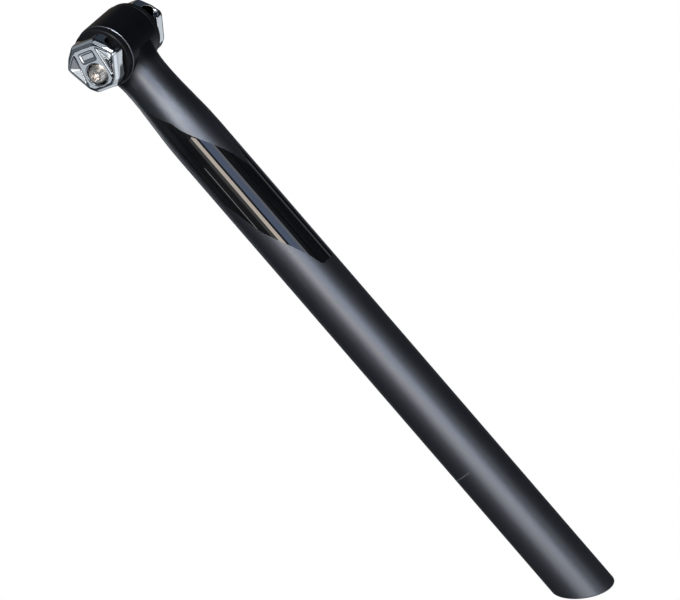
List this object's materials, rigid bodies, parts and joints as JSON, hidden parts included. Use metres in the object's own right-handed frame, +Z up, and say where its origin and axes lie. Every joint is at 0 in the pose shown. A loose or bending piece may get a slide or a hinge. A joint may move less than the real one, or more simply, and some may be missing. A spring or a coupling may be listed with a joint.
{
  "type": "bicycle seatpost",
  "caption": "Slim round bicycle seatpost of moulded carbon with a necked top, a slanted lower end and a single-bolt side clamp that holds two saddle rails.",
  "frame": {"origin": "on the post's axis at the centre of the slanted lower end", "axes": "+Z up the post, +X to the bicycle's front, +Y to the bicycle's left"},
  "size_m": [0.0364, 0.0596, 0.428],
  "materials": {
    "carbon": "satin clear coat over carbon, with a glossy window on the front",
    "black_alloy": "black anodised aluminium",
    "polished_alloy": "polished forged aluminium",
    "bolt_steel": "turned stainless steel"
  },
  "bodies": {
    "post": {"post": "carbon"},
    "clamp_core": {"inner_clamp_right": "black_alloy", "inner_clamp_left": "black_alloy"},
    "right_jaw": {"outer_clamp_right": "polished_alloy", "bolt_washer": "bolt_steel"},
    "left_jaw": {"outer_clamp_left": "polished_alloy", "clamp_nut": "bolt_steel"},
    "bolt": {"clamp_bolt": "bolt_steel"}
  },
  "joints": [
    {"name": "saddle_tilt", "type": "hinge", "parent": "post", "child": "clamp_core", "pos_m": [0, 0, 0.4], "axis": [0, 1, 0], "continuous": true},
    {"name": "right_jaw_slide", "type": "slide", "parent": "clamp_core", "child": "right_jaw", "axis": [0, -1, 0], "range_m": [0, 0.0025]},
    {"name": "left_jaw_slide", "type": "slide", "parent": "clamp_core", "child": "left_jaw", "axis": [0, 1, 0], "range_m": [0, 0.0025]},
    {"name": "bolt_turn", "type": "hinge", "parent": "right_jaw", "child": "bolt", "pos_m": [-0.00135, 0, 0.39498], "axis": [0, -1, 0], "range_deg": [0, 1800]}
  ],
  "couplings": [
    {"joint": "left_jaw_slide", "follows": "right_jaw_slide", "ratio": 1},
    {"joint": "bolt_turn", "follows": "right_jaw_slide", "rad_per_m": 12566}
  ]
}
